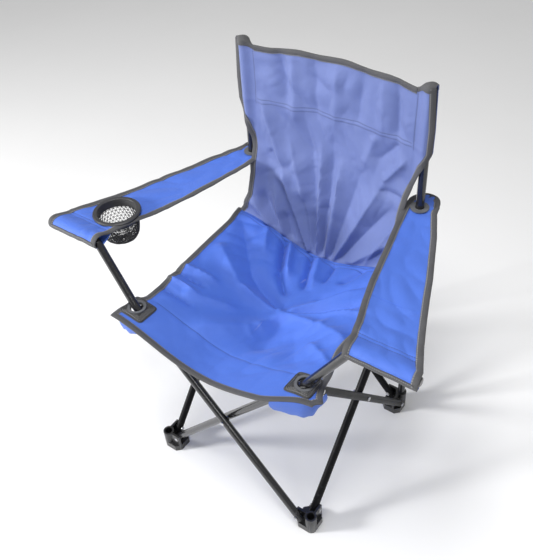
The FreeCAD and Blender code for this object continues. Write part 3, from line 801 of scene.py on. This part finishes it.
# %% Back side strips
def back_side(side, name):
    """The strip outside a post, the sleeve behind the post and their tapes."""
    rows = np.linspace(0, 1, 150)
    low = float(seam_height(np.array([SEAT_SIDE]))[0])
    columns = 22
    grid = np.zeros((len(rows), columns, 3))
    for i, t in enumerate(rows):
        outer_z = low + (BACK_TOP + 0.004 - low) * t
        outer = float(side_edge(outer_z, side))
        for j in range(columns):
            s = j / (columns - 1)
            x = BACK_SEAM + (outer - BACK_SEAM) * s
            bottom = float(seam_height(np.array([x]))[0])
            top = float(top_edge(np.array([min(x, 0.19)]))[0]) + 0.0085 * float(ease(s / 0.45))
            grid[i, j] = (side * x, 0, bottom + (top - bottom) * t)
    x, z = grid[..., 0], grid[..., 2]
    y = back_y(x, z)
    rim = ease((np.abs(x) - CORNER) / 0.018)
    grid[..., 1] = np.where(np.abs(x) > CORNER, y + (CORNER - 0.001 - y) * rim * ease((z - 0.60) / 0.05), y)
    flat = np.stack([x, z], -1)
    piece = cloth(f"{name}_back_side", grid, flat, side_shaded_blue)
    body = f"{name}_rear_leg"
    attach(piece, body)
    start = int(np.argmin(np.abs(grid[:, -1, 2] - (SLEEVE_LOW - 0.006))))
    rear = grid[start:, ::-1].copy()
    post = np.exp(-(((np.abs(rear[..., 0]) - CORNER) / 0.0125) ** 2))
    rear[..., 1] = np.maximum(CORNER + 0.0105 * post, rear[..., 1] + 0.0015)
    front = grid[-1, ::-1]
    over = []
    for a in np.linspace(0, 1, 9)[1:]:
        row = rear[-1] + (front - rear[-1]) * a
        row[:, 2] += 0.0048 * math.sin(math.pi * a) ** 0.7 * post[-1]
        over.append(row)
    rear = np.concatenate([rear, np.array(over)])
    back_layer = cloth(f"{name}_post_sleeve", rear, rear[..., [0, 2]], side_shaded_blue)
    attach(back_layer, body)
    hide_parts(f"{name}_back_sleeve")
    crown = np.concatenate([rear[-12:], grid[-2:-5:-1, ::-1]])
    outward = crown - [0, CORNER, 0]
    outward[..., 0] = 0
    outward[..., 2] = crown[..., 2] - crown[..., 2].max(axis=0) + 0.012
    crown = crown + 0.0014 * outward / np.linalg.norm(outward, axis=-1, keepdims=True)
    crown_tape = cloth(f"{name}_crown_tape", crown, crown[..., [0, 2]], edge_tape, thickness=0.0016)
    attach(crown_tape, body)
    trim = tape(f"{name}_back_tape", grid[:, -1], grid[:, -4], body)
    return piece


for side, name in SIDES:
    made = back_side(side, name)
    print(made.name, len(made.data.polygons), "faces")

# %% [markdown]
# ## The armrests
#
# Each armrest is a tapering strap. Its wide front is wrapped round the tube end as a sewn sleeve, and its
# round rear end has a hole for the back post. The front is fixed in place, and the strap behind it is
# attached to the armrest's own body.

# %% Armrest outline
SPLIT = -0.050
TIP = 0.242


def arm_edges(y):
    """Inner and outer edges of an armrest, from the middle of the chair."""
    inner = np.interp(y, [-0.225, -0.165, -0.120, -0.072, -0.024, 0.059, 0.131, 0.192, 0.215],
                      [0.262, 0.255, 0.243, 0.226, 0.212, 0.193, 0.176, 0.1640, 0.1640])
    outer = np.interp(y, [-0.225, -0.165, -0.120, -0.072, -0.013, 0.033, 0.131, 0.192, 0.215],
                      [0.386, 0.378, 0.357, 0.337, 0.314, 0.297, 0.256, 0.2265, 0.2210])
    return inner, outer


def arm_sag(s, y):
    """The strap sags a little between the tube and the post, and across its width."""
    t = np.clip((y + 0.165) / 0.355, 0, 1)
    sag = -0.006 * np.sin(math.pi * t) - 0.0015 * (1 - (2 * s - 1) ** 2)
    return sag + 0.0040 * creases(s * 0.1, y, 0.09, 21)


def arm_front(side, name, material):
    """The front of an armrest, with the sleeve round the tube's end."""
    tube_y = ARM_TUBE_Y[side]
    wrap = [(0.034, 0.5733), (0.026, 0.5730), (0.016, 0.5768), (0.006, 0.5797), (-0.003, 0.5792),
            (-0.0092, 0.5752), (-0.0122, 0.5690), (-0.0118, 0.5625), (-0.0090, 0.5575), (-0.001, 0.5558),
            (0.006, 0.5570), (0.015, 0.5632), (0.026, 0.5718)]
    profile = [(tube_y + dy, z) for dy, z in wrap]
    flat_rows = np.linspace(SPLIT, profile[0][0], 46)[:-1]
    sample = np.linspace(0, len(profile) - 1, 54)
    wrap_y = np.interp(sample, range(len(profile)), [p[0] for p in profile])
    wrap_z = np.interp(sample, range(len(profile)), [p[1] for p in profile])
    for _ in range(3):
        wrap_y[1:-1] = (wrap_y[:-2] + 2 * wrap_y[1:-1] + wrap_y[2:]) / 4
        wrap_z[1:-1] = (wrap_z[:-2] + 2 * wrap_z[1:-1] + wrap_z[2:]) / 4
    y_rows = np.concatenate([flat_rows, wrap_y])
    z_rows = np.concatenate([np.full(len(flat_rows), ARM_TOP), wrap_z])
    run = np.concatenate([[0], np.cumsum(np.hypot(np.diff(y_rows), np.diff(z_rows)))])
    columns = np.linspace(0, 1, 44)
    grid = np.zeros((len(y_rows), len(columns), 3))
    for i, (y, z) in enumerate(zip(y_rows, z_rows)):
        inner, outer = arm_edges(np.array([max(y, tube_y - 0.02)]))
        grid[i, :, 0] = side * (inner[0] + (outer[0] - inner[0]) * columns)
        grid[i, :, 1] = y
        held = float(ease(np.array((y - tube_y - 0.02) / 0.05)))
        sag = arm_sag(columns, np.full_like(columns, y)) * (held if i < len(flat_rows) else 0)
        pucker = 0.0030 * creases(columns * 0.12, np.full_like(columns, y), 0.06, 31 + side)
        grid[i, :, 2] = z + sag + pucker
    flat = np.stack([grid[..., 0], np.broadcast_to((SPLIT - run)[:, None], grid.shape[:2])], -1)
    holes = [(CUP.x, CUP.y, CUP_HOLE)] if side < 0 else []
    piece = cloth(f"{name}_arm_front", grid, flat, material, holes=holes)
    turn = len(flat_rows) + int(np.argmax(wrap_z < 0.562))
    edge = np.concatenate([grid[:turn, -1], grid[turn, ::-1], grid[turn - 1::-1, 0]])
    inner_row = np.concatenate([grid[:turn, -4], grid[turn - 4, ::-1], grid[turn - 1::-1, 3]])
    inner_row[turn] = grid[turn - 4, -4]
    inner_row[turn + len(columns) - 1] = grid[turn - 4, 3]
    trim = tape(f"{name}_arm_front_tape", edge, inner_row, None)
    start, end = (side * 0.315, tube_y + 0.004, ARM_TOP), (side * 0.315, tube_y + 0.050, ARM_TOP)
    for part in (piece, trim):
        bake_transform(part)
    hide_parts(f"{name}_armrest", f"{name}_arm_sleeve")
    return piece


for side, name, material in ((1, "left", left_arm_blue), (-1, "right", right_arm_blue)):
    made = arm_front(side, name, material)
    print(made.name, len(made.data.polygons), "faces")

# %% Armrest strap
def arm_strap(side, name):
    """The strap from the split to its round end behind the post."""
    straight = np.linspace(SPLIT, 0.205, 70)
    curve = 0.205 + (TIP - 0.205) * np.sin(np.linspace(0, math.pi / 2, 18))[1:]
    y_rows = np.concatenate([straight, curve])
    columns = np.linspace(0, 1, 36)
    grid = np.zeros((len(y_rows), len(columns), 3))
    for i, y in enumerate(y_rows):
        inner, outer = (float(e[0]) for e in arm_edges(np.array([y])))
        if y > 0.205:
            middle, half = (inner + outer) / 2, (outer - inner) / 2
            half *= math.sqrt(max(0.0, 1 - ((y - 0.205) / (TIP - 0.205)) ** 2)) + 0.02
            inner, outer = middle - half, middle + half
        grid[i, :, 0] = side * (inner + (outer - inner) * columns)
        grid[i, :, 1] = y
        grid[i, :, 2] = ARM_TOP + arm_sag(columns, np.full_like(columns, y))
    post_hole = (side * CORNER, CORNER, 0.0125)
    piece = cloth(f"{name}_arm_strap_cloth", grid, grid[..., :2], arm_blue, holes=[post_hole])
    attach(piece, f"{name}_rest")
    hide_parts(f"{name}_arm_strap")
    edge = np.concatenate([grid[:-1, 0], grid[-1, 1:-1], grid[-2::-1, -1]])
    inner_row = np.concatenate([grid[:-1, 3], np.tile(grid[-6, 17], (len(columns) - 2, 1)), grid[-2::-1, -4]])
    trim = tape(f"{name}_arm_strap_tape", edge, inner_row, f"{name}_rest")
    for part in (piece, trim):
        side * 0.25
        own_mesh(part)
    return piece


for side, name in SIDES:
    made = arm_strap(side, name)
    print(made.name, len(made.data.polygons), "faces")

# %% [markdown]
# ## Corner patches
#
# Where a front tube comes up through the seat, the hole is reinforced by a square of black webbing sewn on
# in several rows, with a moulded ring in it. The patch is made as rings of points that change from the
# round hole to a square with rounded corners, so the sewn rows can follow its outline.

# %% Corner patches
def patch(side, name):
    """One corner patch, as rings from the hole to a rounded square."""
    x, y = hole_at(side)
    x -= side * 0.003
    turns, rings = 96, 16
    grid, flat = np.zeros((rings, turns + 1, 3)), np.zeros((rings, turns + 1, 2))
    for j in range(turns + 1):
        angle = 2 * math.pi * j / turns
        c, n = math.cos(angle), math.sin(angle)
        reach = PATCH_HALF / (abs(c) ** 9 + abs(n) ** 9) ** (1 / 9)
        for i in range(rings):
            r = 0.0140 + (reach - 0.0140) * i / (rings - 1)
            px, py = x + side * r * c, y + r * n * 0.93
            ridge = 0.0012 * math.sin((reach - r) / 0.004 * 2 * math.pi)
            edge = -0.0011 * float(ease(np.array((r - reach + 0.003) / 0.003)))
            drape = float(seat_z(np.array([px]), np.array([py]))[0])
            grid[i, j] = px, py, drape + 0.0024 + ridge + edge
            flat[i, j] = j / turns * 8 * 0.026, reach - r
    piece = cloth(f"{name}_patch", grid, flat, patch_webbing, thickness=0.0022)
    bpy.ops.object.mode_set(mode="EDIT")
    bpy.ops.mesh.select_all(action="SELECT")
    bpy.ops.mesh.remove_doubles(threshold=0.0001)
    bpy.ops.mesh.normals_make_consistent(inside=False)
    bpy.ops.object.mode_set(mode="OBJECT")
    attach(piece, f"{name}_arm")
    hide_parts(f"{name}_seat_patch")
    return piece


for side, name in SIDES:
    made = patch(side, name)
    print(made.name, len(made.data.polygons), "faces")

# %% [markdown]
# ## Corner pouches
#
# Under each front corner a small pouch of the same cloth hides the moulded bracket. It is a short strip
# that turns the corner, longest in the middle, and its free lower edge curls and ripples.

# %% Corner pouches
def pouch(side, name):
    """One pouch, as a strip that hangs from the seat's corner."""
    path = [(0.158, -0.2390), (0.175, -0.2392), (0.190, -0.2385), (0.2010, -0.2350), (0.2080, -0.2270),
            (0.2100, -0.2150), (0.2100, -0.2050), (0.2090, -0.1980)]
    if side > 0:
        path = [(0.150, -0.2385), (0.172, -0.2315), (0.188, -0.2250), (0.202, -0.2200), (0.2115, -0.2140),
                (0.2175, -0.2060), (0.2215, -0.1950), (0.2240, -0.1800)]
    s = np.linspace(0, len(path) - 1, 44)
    px = np.interp(s, range(len(path)), [p[0] for p in path])
    py = np.interp(s, range(len(path)), [p[1] for p in path])
    for _ in range(4):
        px[1:-1] = (px[:-2] + 2 * px[1:-1] + px[2:]) / 4
        py[1:-1] = (py[:-2] + 2 * py[1:-1] + py[2:]) / 4
    t = np.linspace(0, 1, 26)
    share = s / s[-1]
    deep = 0.024 + 0.014 * np.sin(math.pi * share) ** 0.8
    centre = np.array([0.190, -0.208])
    grid = np.zeros((len(t), len(s), 3))
    for i, drop in enumerate(t):
        bulge = 1 + 0.05 * math.sin(math.pi * drop) - 0.16 * drop ** 2
        bulge = bulge + 0.035 * drop * np.sin(share * 19 + side)
        grid[i, :, 0] = side * (centre[0] + (px - centre[0]) * bulge)
        grid[i, :, 1] = centre[1] + (py - centre[1]) * bulge
        grid[i, :, 2] = seat_z(px, py) - 0.0008 - deep * drop + 0.0015 * drop * np.sin(share * 23)
    run = np.concatenate([[0], np.cumsum(np.hypot(np.diff(px), np.diff(py)))])
    flat = np.stack(np.broadcast_arrays(run[None, :], (0.036 * t)[:, None]), -1)
    piece = cloth(f"{name}_pouch", grid, flat, arm_blue)
    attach(piece, f"{name}_corner")
    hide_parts(f"{name}_corner_flap")
    return piece


for side, name in SIDES:
    made = pouch(side, name)
    print(made.name, len(made.data.polygons), "faces")

# %% [markdown]
# ## The net under the cup ring
#
# The pocket is a coarse black net that narrows and sags below the ring. A net is holes more than threads,
# so the threads are real: a slanting grid of faces is wrapped on the pocket's shape, and a Wireframe
# modifier turns its edges into thin bars.

# %% Cup net
def net_pocket():
    """The net, as bars along the edges of a slanting grid."""
    around, down = 30, 12
    drop = [0.012, 0.020, 0.030, 0.040, 0.049, 0.056, 0.0605, 0.0618]
    reach = [0.0400, 0.0392, 0.0378, 0.0360, 0.0338, 0.0290, 0.0190, 0.0015]
    points = []
    for i in range(down):
        share = i / (down - 1) * (len(drop) - 1)
        r, z = np.interp(share, range(len(drop)), reach), np.interp(share, range(len(drop)), drop)
        for j in range(around):
            angle = 2 * math.pi * (j + 0.5 * i) / around
            slack = 1 + 0.035 * math.sin(3 * angle + 1.1) * (i / down) + 0.012 * math.sin(11 * angle + i)
            points.append((CUP.x + r * slack * math.cos(angle), CUP.y + r * slack * math.sin(angle), CUP.z - z))
    faces = []
    for i in range(down - 1):
        for j in range(around):
            a, b = i * around + j, i * around + (j + 1) % around
            c, d = (i + 1) * around + j, (i + 1) * around + (j - 1) % around
            faces.append([a, b, c])
            faces.append([a, c, d])
    last = (down - 1) * around
    faces.append([last + j for j in range(around)][::-1])
    piece = make_mesh("cup_net_bag", points, faces, [(p[0], p[2]) for p in points], net_black)
    bars = piece.modifiers.new("threads", "WIREFRAME")
    bars.thickness = 0.0020
    bars.use_even_offset = False
    bpy.ops.object.modifier_apply(modifier=bars.name)
    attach(piece, "right_rest")
    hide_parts("cup_net")
    return piece


net = net_pocket()
print("net faces:", len(net.data.polygons))
